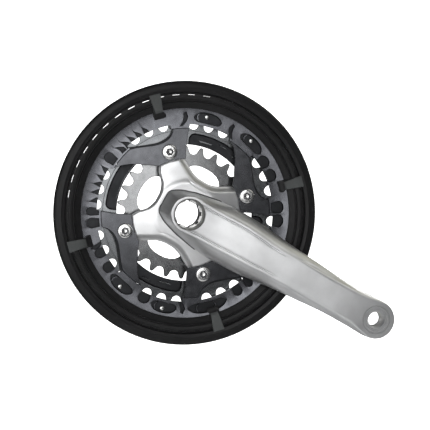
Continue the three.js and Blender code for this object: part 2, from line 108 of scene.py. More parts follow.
def arc(radius, start, end, steps, centre=(0, 0)):
    return polar(radius, np.linspace(start, end, steps + 1)) + np.array(centre)


def circle(radius, steps, centre=(0, 0)):
    return arc(radius, 0, 2 * math.pi, steps, centre)[:-1]


def signed_area(outline):
    x, y = outline[:, 0], outline[:, 1]
    return 0.5 * np.sum(x * np.roll(y, -1) - y * np.roll(x, -1))


def lifted(loop, height):
    """Raises a flat loop; the height may be one value or one for each point."""
    return np.column_stack([loop, np.broadcast_to(height, len(loop))])


def smooth_closed(points, steps):
    """Catmull-Rom curve through a closed list of points."""
    p0, p1 = np.roll(points, 1, axis=0), points
    p2, p3 = np.roll(points, -1, axis=0), np.roll(points, -2, axis=0)
    curve = []
    for i in range(steps):
        t = i / steps
        curve.append(0.5 * (2 * p1 + (p2 - p0) * t + (2 * p0 - 5 * p1 + 4 * p2 - p3) * t ** 2
                            + (3 * p1 - p0 - 3 * p2 + p3) * t ** 3))
    return np.stack(curve, axis=1).reshape(-1, 2)


def smooth_value(table, position):
    """Monotone cubic through a table of (position, value)."""
    table = np.array(table, float)
    x, y = table[:, 0], table[:, 1]
    slope = np.diff(y) / np.diff(x)
    tangent = np.concatenate([[slope[0]], (slope[1:] + slope[:-1]) / 2, [slope[-1]]])
    tangent[1:-1][slope[1:] * slope[:-1] <= 0] = 0
    position = np.clip(np.asarray(position, float), x[0], x[-1])
    i = np.clip(np.searchsorted(x, position, side="right") - 1, 0, len(x) - 2)
    width = x[i + 1] - x[i]
    t = (position - x[i]) / width
    return ((2 * t ** 3 - 3 * t ** 2 + 1) * y[i] + (t ** 3 - 2 * t ** 2 + t) * width * tangent[i]
            + (3 * t ** 2 - 2 * t ** 3) * y[i + 1] + (t ** 3 - t ** 2) * width * tangent[i + 1])


def smoothstep(low, high, value):
    t = np.clip((np.asarray(value, float) - low) / (high - low), 0, 1)
    return t * t * (3 - 2 * t)


def fine(pairs, steps):
    """Smoothly subdivides an open run of pairs; the last point is left off."""
    table = np.array(pairs, float)
    rows = np.arange(len(table))
    at = np.arange(0, (len(table) - 1) * steps) / steps
    if len(table) == 2:
        return table[0] + (table[1] - table[0]) * at[:, None]
    return np.column_stack([smooth_value(np.column_stack([rows, column]), at) for column in table.T])


class Shape:
    """A growing mesh: points in millimetres, faces, and the number of each face's material."""

    def __init__(self):
        self.points = []
        self.faces = []
        self.finish = []

    def add(self, points, faces, finish=0):
        start = len(self.points)
        self.points.extend(map(tuple, np.asarray(points, float)))
        self.faces.extend(tuple(start + i for i in face) for face in faces)
        self.finish.extend([finish] * len(faces))
        return self

    def slab(self, outline, bottom, top, holes=(), chamfer=0.25, hole_chamfer=None, finish=0):
        """A flat piece with straight walls and chamfered rims. A chamfer may differ from point to point."""
        loops = [outline if signed_area(outline) > 0 else outline[::-1]]
        loops += [hole if signed_area(hole) < 0 else hole[::-1] for hole in holes]
        cuts = [chamfer] + [chamfer if hole_chamfer is None else hole_chamfer] * len(holes)
        insets = [inset(loop, amount) for loop, amount in zip(loops, cuts)]
        points, faces, tops, bottoms = [], [], [], []
        for loop, shrunk, amount in zip(loops, insets, cuts):
            start, count = len(points), len(loop)
            for ring, height in ((shrunk, bottom), (loop, bottom + amount),
                                 (loop, top - amount), (shrunk, top)):
                points.extend(lifted(ring, height))
            for level in range(3):
                for i in range(count):
                    a = start + level * count + i
                    b = start + level * count + (i + 1) % count
                    faces.append((a, b, b + count, a + count))
            bottoms.extend(range(start, start + count))
            tops.extend(range(start + 3 * count, start + 4 * count))
        flat = [[Vector((x, y, 0)) for x, y in ring] for ring in insets]
        for a, b, c in tessellate_polygon(flat):
            if signed_area(np.array([points[tops[i]] for i in (a, b, c)])) < 0:
                b, c = c, b
            faces.append((tops[a], tops[b], tops[c]))
            faces.append((bottoms[a], bottoms[c], bottoms[b]))
        return self.add(points, faces, finish)

    def turned(self, profile, segments, centre=(0, 0), finish=0, closed=True):
        """A solid of revolution about z. A closed profile is a ring; an open one ends on the axis."""
        angles = np.linspace(0, 2 * math.pi, segments, endpoint=False)
        rings = [lifted(polar(radius, angles) + centre, height) for radius, height in profile]
        if closed:
            rings.append(rings[0])
        return self.grid(rings, finish, caps=not closed)

    def grid(self, rings, finish=0, caps=False):
        """Joins closed rings of equal length, level by level."""
        rings = np.asarray(rings, float)
        levels, count = rings.shape[:2]
        faces = []
        for level in range(levels - 1):
            for i in range(count):
                j = (i + 1) % count
                faces.append((level * count + i, level * count + j,
                              (level + 1) * count + j, (level + 1) * count + i))
        if caps:
            faces.append(tuple(range(count))[::-1])
            faces.append(tuple((levels - 1) * count + i for i in range(count)))
        return self.add(rings.reshape(-1, 3), faces, finish)


def inset(loop, amount):
    """Moves a loop towards its left side, where the material is."""
    before = loop - np.roll(loop, 1, axis=0)
    after = np.roll(loop, -1, axis=0) - loop
    before /= np.linalg.norm(before, axis=1, keepdims=True) + 1e-12
    after /= np.linalg.norm(after, axis=1, keepdims=True) + 1e-12
    left = np.stack([-before[:, 1] - after[:, 1], before[:, 0] + after[:, 0]], axis=1)
    share = np.clip(1 + np.sum(before * after, axis=1, keepdims=True), 0.5, 2)
    return loop + left / share * np.reshape(amount, (-1, 1) if np.ndim(amount) else ())


def place(points):
    """From the crank plane in millimetres to the frame in metres."""
    points = np.asarray(points, float) * MM
    return np.stack([points[:, 0], -points[:, 2], points[:, 1]], axis=1)


def tidy(piece, sharp, weld=1e-6):
    """Drops slivers, smooths the surface and keeps edges over `sharp` degrees crisp."""
    edit = bmesh.new()
    edit.from_mesh(piece.data)
    bmesh.ops.remove_doubles(edit, verts=edit.verts, dist=weld)
    bmesh.ops.dissolve_degenerate(edit, edges=edit.edges, dist=weld)
    limit = math.radians(sharp)
    for face in edit.faces:
        face.smooth = True
    for edge in edit.edges:
        edge.smooth = len(edge.link_faces) != 2 or edge.calc_face_angle() < limit
    edit.to_mesh(piece.data)
    edit.free()


def combine(piece, tool, operation):
    """Boolean of two closed meshes; the tool is used up."""
    modifier = piece.modifiers.new("cut", "BOOLEAN")
    modifier.operation = operation
    modifier.solver = "MANIFOLD"
    modifier.object = tool
    graph = bpy.context.evaluated_depsgraph_get()
    result = bpy.data.meshes.new_from_object(piece.evaluated_get(graph))
    piece.modifiers.clear()
    old = piece.data
    piece.data = result
    bpy.data.meshes.remove(old)
    bpy.data.objects.remove(tool)


def cut(shape):
    return "DIFFERENCE", shape


def join(shape):
    return "UNION", shape


def finish_piece(piece, slot, *nodes):
    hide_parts(*nodes)
    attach(piece, BODY)
    return piece


# ------------------------------------------------------------------ materials

class Nodes:
    """Short calls for building a shader."""

    def __init__(self, name):
        self.material = bpy.data.materials.new(name)
        self.material.use_nodes = True
        self.tree = self.material.node_tree
        self.shader = self.tree.nodes["Principled BSDF"]
        self.place = self.add("ShaderNodeTexCoord").outputs["Object"]

    def add(self, kind, links=None, **settings):
        node = self.tree.nodes.new(kind)
        for key, value in settings.items():
            setattr(node, key, value)
        for socket, source in (links or {}).items():
            target = node.inputs[socket]
            if isinstance(source, bpy.types.NodeSocket):
                self.tree.links.new(source, target)
            else:
                target.default_value = source
        return node

    def link(self, source, socket):
        self.tree.links.new(source, self.shader.inputs[socket])

    def noise(self, scale, detail=3.0, roughness=0.5, vector=None):
        node = self.add("ShaderNodeTexNoise", {"Vector": vector or self.place, "Scale": scale,
                                               "Detail": detail, "Roughness": roughness})
        return node.outputs["Fac"]

    def gloss(self, value, low, high):
        """Roughness that wanders between two values."""
        node = self.add("ShaderNodeMapRange", {"Value": value, "From Min": 0.3, "From Max": 0.7,
                                               "To Min": low, "To Max": high})
        self.link(node.outputs["Result"], "Roughness")

    def ramp(self, value, stops):
        node = self.add("ShaderNodeValToRGB", {"Fac": value})
        ramp = node.color_ramp
        while len(ramp.elements) < len(stops):
            ramp.elements.new(0.5)
        for element, (position, colour) in zip(ramp.elements, stops):
            element.position = position
            element.color = (*colour, 1)
        return node.outputs["Color"]

    def shaded(self, value, tint, dark, light, low=0.35, high=0.65):
        """The tint, wandering between a darker and a lighter share of itself."""
        stops = [(low, tuple(dark * part for part in tint)), (high, tuple(light * part for part in tint))]
        return self.ramp(value, stops)

    def blend(self, factor, first, second, mode="MIX"):
        node = self.add("ShaderNodeMix", {}, data_type="RGBA", blend_type=mode)
        for index, source in ((0, factor), (6, first), (7, second)):
            if isinstance(source, bpy.types.NodeSocket):
                self.tree.links.new(source, node.inputs[index])
            else:
                node.inputs[index].default_value = source if index == 0 else (*source, 1)
        return node.outputs[2]

    def maths(self, operation, first, second=0.0):
        node = self.add("ShaderNodeMath", {0: first, 1: second}, operation=operation)
        return node.outputs[0]

    def bump(self, height, strength, distance, normal=None):
        links = {"Height": height, "Strength": strength, "Distance": distance}
        if normal is not None:
            links["Normal"] = normal
        return self.add("ShaderNodeBump", links).outputs["Normal"]

    def axis_radius(self):
        """Distance from the spindle axis."""
        split = self.add("ShaderNodeSeparateXYZ", {"Vector": self.place})
        square_x = self.maths("POWER", split.outputs["X"], 2.0)
        square_z = self.maths("POWER", split.outputs["Z"], 2.0)
        return self.maths("SQRT", self.maths("ADD", square_x, square_z))

    def turning_marks(self, per_mm):
        """Fine circular tool marks round the spindle axis."""
        radius = self.maths("MULTIPLY", self.axis_radius(), 1000.0 * per_mm)
        ring = self.add("ShaderNodeCombineXYZ", {"X": radius})
        return self.noise(1.0, 2.0, 0.6, ring.outputs["Vector"])

    def uniform(self, **values):
        names = {"metallic": "Metallic", "roughness": "Roughness", "coat": "Coat Weight",
                 "coat_roughness": "Coat Roughness", "specular": "Specular IOR Level"}
        for key, value in values.items():
            self.shader.inputs[names[key]].default_value = value


def silver_paint(name, tint):
    """Metallic silver lacquer over a forging: tiny flakes, soft orange peel, faint handling marks."""
    n = Nodes(name)
    flakes = n.noise(9000, 1.0)
    colour = n.shaded(n.noise(45, 4.0), tint, 0.9, 1.06)
    sparkle = n.ramp(flakes, [(0.3, (0.82, 0.82, 0.82)), (0.7, (1, 1, 1))])
    n.link(n.blend(0.5, colour, sparkle, "MULTIPLY"), "Base Color")
    n.gloss(n.noise(160, 6.0, 0.7), 0.31, 0.41)
    peel = n.bump(n.noise(700, 2.0), 0.06, 0.0004)
    n.link(n.bump(flakes, 0.05, 0.0001, peel), "Normal")
    n.uniform(metallic=0.9, coat=0.15, coat_roughness=0.3)
    return n.material


def machined(name, tint, roughness):
    """Bare metal with fine turning marks."""
    n = Nodes(name)
    marks = n.turning_marks(9)
    n.link(n.shaded(marks, tint, 0.8, 1, 0.3, 0.7), "Base Color")
    n.gloss(n.noise(300, 4.0), roughness * 0.8, roughness * 1.25)
    n.link(n.bump(marks, 0.25, 0.00006), "Normal")
    n.uniform(metallic=1.0)
    return n.material


def coated_steel(name, tint, roughness, metallic=0.6):
    """Satin electro-coating: a fine grain, cloudy tone and slightly polished high spots."""
    n = Nodes(name)
    colour = n.shaded(n.noise(70, 5.0, 0.6), tint, 0.82, 1.14)
    speck = n.ramp(n.noise(5200, 2.0), [(0.35, (0.86, 0.86, 0.86)), (0.65, (1, 1, 1))])
    n.link(n.blend(0.35, colour, speck, "MULTIPLY"), "Base Color")
    n.gloss(n.noise(240, 5.0), roughness * 0.85, roughness * 1.2)
    n.link(n.bump(n.noise(3600, 2.0), 0.07, 0.00008), "Normal")
    n.uniform(metallic=metallic)
    return n.material


def moulded(name, tint, roughness):
    """Moulded plastic: fine spark texture, faint flow clouds, dusty variation in the gloss."""
    n = Nodes(name)
    n.link(n.shaded(n.noise(35, 4.0, 0.6), tint, 0.85, 1.2, 0.35, 0.7), "Base Color")
    n.gloss(n.noise(400, 5.0), roughness * 0.85, roughness * 1.15)
    n.link(n.bump(n.noise(2600, 3.0), 0.3, 0.00008), "Normal")
    n.uniform(specular=0.14)
    return n.material


ARM_SILVER = silver_paint("arm_silver", (0.60, 0.605, 0.61))
SPIDER_SILVER = silver_paint("spider_silver", (0.66, 0.665, 0.67))
MACHINED = machined("machined_aluminium", (0.8, 0.8, 0.79), 0.34)
BRIGHT = machined("bright_zinc", (0.78, 0.78, 0.77), 0.22)
# Dark painted shade for the inside of the key sockets, the spindle splines and the seam trench round the
# arm's foot.
PAINTED_SHADE_DARK = coated_steel("painted_shade_dark", (0.08, 0.08, 0.085), 0.5)
PLATE_GREY = coated_steel("carrier_plate_grey", (0.088, 0.09, 0.097), 0.2, 0.95)
BAND_GREY = coated_steel("outer_ring_grey", (0.135, 0.138, 0.15), 0.22, 0.95)
# Near-black painted shade for the outer ring's pockets, pin holes and the tabs under the plates, and for the
# middle ring's recesses.
PAINTED_SHADE_BLACK = coated_steel("painted_shade_black", (0.026, 0.027, 0.029), 0.4, 0.9)
MIDDLE_GREY = coated_steel("middle_ring_grey", (0.16, 0.166, 0.172), 0.19, 0.95)
INNER_GREY = coated_steel("inner_ring_grey", (0.20, 0.203, 0.206), 0.16, 0.95)
GUARD_BLACK = moulded("guard_black", (0.006, 0.006, 0.0063), 0.36)
CLIP_GREY = moulded("clip_grey", (0.032, 0.034, 0.034), 0.55)


# ------------------------------------------------------------------ chainrings

# One tooth crown: millimetres across the tooth, millimetres below its tip, chamfer.
CROWN = [(-1.9, 1.9, 0.4), (-1.15, 0.5, 0.55), (-0.6, 0.08, 0.6), (0.6, 0.08, 0.6), (1.15, 0.5, 0.55),
         (1.9, 1.9, 0.4)]
SEAT_CHAMFER = 0.18


def toothed_outline(ring):
    """Roller seats and teeth; also says how deep each point is chamfered."""
    half = math.pi / ring["teeth"]
    pitch_radius = CHAIN_PITCH / (2 * math.sin(half))
    tip = pitch_radius + TOOTH_ABOVE_PITCH
    swings = np.radians(np.linspace(-72, 72, 13))
    points, chamfers = [], []
    for i in range(ring["teeth"]):
        middle = ring["phase"] + 2 * i * half
        turn = middle + half
        seat = polar(pitch_radius, middle) + polar(ROLLER_RADIUS, middle + math.pi - swings)
        crown = [polar(tip - drop, turn) + polar(across, turn + math.pi / 2) for across, drop, _ in CROWN]
        points.extend([seat, crown])
        chamfers.extend([SEAT_CHAMFER] * len(seat) + [chamfer for _, _, chamfer in CROWN])
    return np.concatenate(points), np.array(chamfers)


def tooth_levels(ring):
    return ring["middle"] - TOOTH_THICKNESS / 2, ring["middle"] + TOOTH_THICKNESS / 2


def toothed_disc(ring, hole_radius):
    """The toothed edge: thin plate whose teeth thin down to their tips."""
    outline, chamfers = toothed_outline(ring)
    return Shape().slab(outline, *tooth_levels(ring), [circle(hole_radius, 180)], chamfers, 0)


# Pockets of the outer ring's band, in degrees. A wedge is the gap between two ramps: its tip points
# outwards and its root is open to the inner edge. A scoop is a round notch in the inner edge, given by
# its middle and width. A crescent or a ridge has a direction to lean to.
WEDGES = [(118, 116.6), (123.4, 121.6), (128.4, 126.4), (133.3, 130.8), (138.3, 135.2), (150.6, 152),
          (156.6, 157.2), (162.2, 161.4), (167.5, 166.4), (173, 171.6)]
SCOOPS = [(24.2, 8.0), (33.6, 8.2), (-4.6, 8.2), (3.8, 7.8), (144.4, 6.6), (178.8, 5.4), (185.8, 6.6),
          (204.6, 6.4), (214.6, 6.8), (243.4, 7.6), (304, 6.4), (312.5, 5.5)]
LENSES = [(38.5, 55.5), (68.5, 86), (219, 236), (248.5, 264.5), (271, 296)]
CRESCENTS = [(61.4, 1), (91.6, -1), (199.5, 1), (267.3, 1)]
LENS_RIDGES = [(52.3, 1), (83.2, 1), (222, -1), (251.5, -1), (277, -1), (288, 1)]
CHAIN_PINS = [math.radians(angle) for angle in (48, 78, 228, 256)]
PIN_RADIUS = 80.4
LANDINGS = [(-17.5, -5.5), (26, 43)]
POCKET_MOUTH = 71.0

# Shapes as (radius, swing): degrees, and for a lens shares of its half length.
CRESCENT = [(POCKET_MOUTH, -1.2), (75, 1.6), (79, 2.5), (82.8, 1.0), (81.6, -0.6), (78.4, -0.6),
            (74.5, -1.4), (POCKET_MOUTH, -3.6)]
BLADE = [(75.6, -0.7), (77.4, 0.5), (79.4, 0.9), (81.6, 0.3), (82.7, -0.7), (81.2, -0.35), (79.4, 0.05),
         (77.6, -0.3), (75.8, -1.3)]
LENS = [(78.6, -1), (75.7, -0.825), (74.8, -0.5), (74.6, 0), (74.8, 0.5), (75.7, 0.825), (78.6, 1),
        (81.4, 0.825), (83.1, 0.5), (83.6, 0), (83.1, -0.5), (81.4, -0.825)]


def tapered(outline, levels, finish=0):
    """A solid from one outline, inset by its own amount at each height."""
    if signed_area(outline) < 0:
        outline = outline[::-1]
    rings = [lifted(inset(outline, amount), height) for amount, height in levels]
    return Shape().grid(rings, finish, caps=True)


def cutter(outline, floor, top, flare=0.45, draft=0.5, finish=1):
    """A prism to cut with: it narrows to its floor and flares at the top, which leaves a chamfer."""
    # Unless told otherwise, the faces it leaves take the piece's second material, which on the rings and
    # bolts is painted shade.
    over = 1.2
    levels = ((draft, floor), (0, top - flare), (-flare, top), (-flare - over, top + over))
    return tapered(outline, levels, finish)


def raw_object(name, shape, materials):
    """A closed mesh with its faces turned outward, ready for booleans."""
    mesh = bpy.data.meshes.new(name)
    mesh.from_pydata(place(shape.points).tolist(), [], shape.faces)
    mesh.polygons.foreach_set("material_index", np.array(shape.finish, np.int32))
    piece = bpy.data.objects.new(name, mesh)
    bpy.context.scene.collection.objects.link(piece)
    edit = bmesh.new()
    edit.from_mesh(mesh)
    bmesh.ops.remove_doubles(edit, verts=edit.verts, dist=1e-7)
    bmesh.ops.recalc_face_normals(edit, faces=edit.faces)
    edit.to_mesh(mesh)
    edit.free()
    for material in materials:
        mesh.materials.append(material)
    return piece


def build(name, base, steps, materials, sharp=30):
    """Applies a list of (operation, shape) to a base shape and finishes the object."""
    piece = raw_object(name, base, materials)
    for operation, shape in steps:
        combine(piece, raw_object("tool", shape, materials), operation)
    piece.data.name = name
    tidy(piece, sharp)
    return piece


def hole_cutter(radius, bottom, top, centre, segments=40, flare=0.4, finish=0):
    """A round hole with a small chamfer at both mouths."""
    profile = [(radius + flare + 1, bottom - 1), (radius + flare, bottom), (radius, bottom + flare),
               (radius, top - flare), (radius + flare, top), (radius + flare + 1, top + 1)]
    return Shape().turned(profile, segments, centre, finish, closed=False)


def swung(pairs, middle, scale=1):
    """An outline from (radius, swing) pairs about a direction; a scale of -1 mirrors it."""
    return polar_outline([(radius, middle + scale * swing) for radius, swing in pairs])


def wedge_outline(tip, root):
    middle = (tip + root) / 2
    rising = [(POCKET_MOUTH, root + 2.3), (74.6, root + 1.9), (77.4, middle + 1.0), (79.4, tip + 0.35)]
    falling = [(79.4, tip - 0.2), (77.4, middle - 0.7), (74.6, root - 1.6), (POCKET_MOUTH, root - 2.1)]
    return polar_outline(rising + [(79.9, tip)] + falling)


def scoop_outline(middle, width):
    """A round end between 77.2 and 81.6 mm, with slightly narrower sides down to the mouth."""
    half, middle = math.radians(width) / 2, math.radians(middle)
    swing = polar(1.0, np.linspace(math.pi, 0, 15))
    crown = polar(77.2 + 4.4 * swing[:, 1], middle - half * swing[:, 0])
    sides = [[polar(POCKET_MOUTH, middle + side * 0.86 * half)] for side in (1, -1)]
    return np.concatenate([sides[0], crown, sides[1]])


def lens_outline(low, high):
    return smooth_closed(swung(LENS, (low + high) / 2, (high - low) / 2), 4)


def band_inner_edge():
    """Inner edge of the band, which reaches further in where a carrier plate lands on it."""
    stretches = []
    for bolt in BOLT_ANGLES:
        for which, (start, end) in enumerate(LANDINGS):
            following = LANDINGS[1][0] if which == 0 else 90 + LANDINGS[0][0]
            low, high = bolt + math.radians(start), bolt + math.radians(end)
            stretches.append(arc(BAND["landing"], low, high, 14))
            stretches.append(arc(BAND["inner"], high + 0.007, bolt + math.radians(following) - 0.007, 36))
    return np.concatenate(stretches)


TAB_OUTLINE = [(46, -13), (52, -13.2), (58, -13.6), (66, -14.7), (75.4, -16.4), (75.4, -11), (75.4, -7),
               (71, -6.7), (67.6, -5.8), (64.6, -3.4), (62.7, 0.6), (62, 4.6), (62.5, 9), (64.1, 13.6),
               (66.8, 19.2), (71, 25.4), (75.4, 28), (75.4, 34), (75.4, 40), (70, 39.2), (65.4, 35.4),
               (60.4, 30.6), (54.6, 25.4), (49.6, 19), (46, 12), (46, 4), (46, -5)]


def make_outer_ring():
    bottom, top, floor = BAND["bottom"], BAND["top"], BAND["floor"]
    band = Shape().slab(circle(BAND["outer"], 360), bottom, top, [band_inner_edge()], 0.4)
    dish = Shape().turned([(60, 21.75), (79.6, 21.75), (85.7, 22.4), (88, 22.6), (88, 24), (60, 24)], 360)
    tabs = [polar_outline(TAB_OUTLINE, bolt) for bolt in BOLT_ANGLES]
    steps = [join(band), cut(dish)]
    steps += [join(Shape().slab(tab, bottom, TAB_TOP, finish=1)) for tab in tabs]
    steps += [cut(hole_cutter(5.2, bottom, TAB_TOP, polar(BOLT_RADIUS, bolt))) for bolt in BOLT_ANGLES]
    steps += [cut(cutter(outline, floor, top)) for outline in pocket_outlines()]
    steps += [join(ridge(swung(BLADE, *blade), floor - 0.4, 21.3)) for blade in LENS_RIDGES]
    steps += [cut(hole_cutter(1.5, bottom, 21, polar(PIN_RADIUS, pin), 24, 0.2, 1)) for pin in CHAIN_PINS]
    base = toothed_disc(OUTER_RING, BAND["inner"] + 4)
    return build("outer_ring", base, steps, [BAND_GREY, PAINTED_SHADE_BLACK])


def ridge(outline, bottom, top):
    """A low island with sloping sides."""
    return tapered(outline, ((-0.25, bottom), (0, top - 0.3), (0.2, top)))


def pocket_outlines():
    outlines = [lens_outline(*lens) for lens in LENSES]
    outlines += [wedge_outline(*wedge) for wedge in WEDGES]
    outlines += [scoop_outline(*scoop) for scoop in SCOOPS]
    return outlines + [swung(CRESCENT, *crescent) for crescent in CRESCENTS]


# Thin ribs inside the recesses: start, end, inner and outer radius; every second recess has more.
RECESS_RIDGES = (((-19, -9, 60.2, 61.3), (-5, 3, 62.3, 63.1), (7, 19, 59.4, 60.7)), ((-20, 18, 57.3, 57.9),))


def make_middle_ring():
    bottom, top, inner_edge = MIDDLE_BODY["bottom"], MIDDLE_BODY["top"], MIDDLE_BODY["inner"]
    ring = Shape().slab(circle(MIDDLE_BODY["outer"], 288), bottom, top, [circle(inner_edge, 288)], 0.4)
    steps = [join(ring)]
    for which, bolt in enumerate(BOLT_ANGLES):
        tab = polar_outline([(44.3, -8), (50, -10), (54.6, -12), (58.5, -15), (58.5, 15), (54.6, 12),
                             (50, 10), (44.3, 8), (43.9, 3), (43.9, -3)], bolt)
        steps.append(join(Shape().slab(tab, bottom, top, chamfer=0.35)))
        steps.append(cut(hole_cutter(5.2, bottom, top, polar(BOLT_RADIUS, bolt))))
        middle = bolt + math.pi / 4
        recess = recess_outline(middle - math.radians(26), middle + math.radians(26))
        steps.append(cut(cutter(recess, 12.3, top, 0.7, 0.4)))
        for low, high, inner, outer in RECESS_RIDGES[which % 2]:
            start, end = middle + math.radians(low), middle + math.radians(high)
            island = np.concatenate([arc(outer, start, end, 12), arc(inner, end - 0.03, start + 0.03, 12)])
            steps.append(join(ridge(island, 12.1, 13.6)))
    base = toothed_disc(MIDDLE_RING, inner_edge + 4)
    return build("middle_ring", base, steps, [MIDDLE_GREY, PAINTED_SHADE_BLACK])


def recess_outline(low, high):
    """A long recess that follows the middle ring, open to its inner edge."""
    end = math.radians(3.2)
    side = [(64.4, -0.45), (62.2, 0), (58.5, 0.1), (54.5, 0)]
    right = [polar(radius, high + share * end) for radius, share in side]
    left = [polar(radius, low - share * end) for radius, share in side[::-1]]
    return np.concatenate([arc(65.3, low + end, high - end, 24), right,
                           arc(54.5, high - end / 2, low + end / 2, 20), left])


def make_inner_ring():
    low, high = tooth_levels(INNER_RING)
    opening = inner_ring_opening()
    steps = [cut(Shape().slab(opening, low - 1, high + 1)),
             cut(cutter(opening, low + 0.6, high, 0.35, 0.0, 0))]
    for bolt in BOLT_ANGLES:
        steps.append(cut(hole_cutter(4.2, low, high, polar(INNER_BOLT_RADIUS, bolt), 32, 0.3)))
    return build("inner_ring", toothed_disc(INNER_RING, 20), steps, [INNER_GREY])


def inner_ring_opening():
    """Rounded lobes between the four ears that carry the inner ring bolts."""
    window = [(33.4, 14.6), (35.2, 17.6), (37.6, 21.4), (39.3, 26), (40.3, 31.5), (40.7, 38), (40.7, 45)]
    window += [(radius, 90 - angle) for radius, angle in reversed(window[:-1])]
    points = []
    for bolt in BOLT_ANGLES:
        ear = polar(6.6, bolt + math.pi - np.radians(np.linspace(-84, 84, 17)))
        points += [ear + polar(INNER_BOLT_RADIUS, bolt), polar_outline(window, bolt)]
    return np.concatenate(points)


for maker, slot, node in ((make_outer_ring, "outer_ring_steel", "outer_chainring"),
                          (make_middle_ring, "middle_ring_steel", "middle_chainring"),
                          (make_inner_ring, "inner_ring_steel", "inner_chainring")):
    finish_piece(maker(), slot, node)


# ------------------------------------------------------------------ carrier plates

def plate_outline(bolt):
    inner, outer = PLATE["inner"], PLATE["outer"]
    straight = [(inner, -15), (51, -15.3), (57, -15.8), (63, -16.5), (outer, -17.4)]
    hollow = [(outer, -6.4), (66.4, -5.4), (63.2, -3), (61.2, 0.6), (60.5, 4.6), (61, 9), (62.6, 13.6),
              (65.6, 19.4), (outer, 26)]
    swept = [(outer, 42.4), (65.4, 38), (61, 33.6), (56.8, 29.8), (53, 26.2), (49.8, 22), (47, 18.4),
             (inner, 15)]
    pairs = np.concatenate([fine(straight, 3), fine([straight[-1], hollow[0]], 6), fine(hollow, 5),
                            fine([hollow[-1], swept[0]], 8), fine(swept, 4),
                            fine([swept[-1], straight[0]], 16)])
    return polar_outline(pairs, bolt)


def make_plate(number, bolt):
    base = Shape().slab(plate_outline(bolt), PLATE["bottom"], PLATE["top"], chamfer=0.35)
    steps = [cut(hole_cutter(4.3, PLATE["bottom"], PLATE["top"], polar(BOLT_RADIUS, bolt)))]
    return build(f"cover_plate_{number}", base, steps, [PLATE_GREY])


for number, bolt in zip(NUMBERS, BOLT_ANGLES):
    finish_piece(make_plate(number, bolt), "carrier_plastic", f"carrier_plate_{number}")


# ------------------------------------------------------------------ spider

SPIDER_BASE = [(17.3, 27.6), (24, 27.6), (29, 26.2), (34, 24.9), (39, 23.6), (44.2, 22.4)]
FLANKED = (True, False, True, False)       # windows above and below the crank arm have a wide flank
NEAR_RADII = (29.5, 26.5, 29.5, 26.5)
TONGUE = [(40, -14), (46, -12.6), (50, -11.6), (54, -9.6), (57, -6), (58.4, 0), (57, 6), (54, 9.6),
          (50, 11.6), (46, 12.6), (40, 14)]
TRENCH_WIDTH = 0.85                        # seam round the foot of the crank arm, darkened with painted shade


def window_side(near):
    """Rows of (radius, degrees from the window's middle)."""
    return [(near, 0), (near + 0.15, 4), (near + 0.5, 8), (near + 1.2, 12), (near + 2.4, 16),
            (near + 4, 19.6), (near + 6.4, 23), (40, 27.4), (42, 29.2), (44.2, 31)]


def spider_edge(steps):
    """The spider's outer edge: radius against angle, smooth round every window, round at the arm ends."""
    angles = np.linspace(0, 2 * math.pi, steps, endpoint=False)
    radii = np.empty(steps)
    for which, bolt in enumerate(BOLT_ANGLES):
        middle = bolt + math.pi / 4
        away = np.degrees(np.abs((angles - middle + math.pi) % (2 * math.pi) - math.pi))
        table = [(angle, radius) for radius, angle in window_side(NEAR_RADII[which])]
        mine = away <= 45
        radii[mine] = smooth_value(table, away[mine])
    return angles, np.minimum(radii, SPIDER["arm_end"])


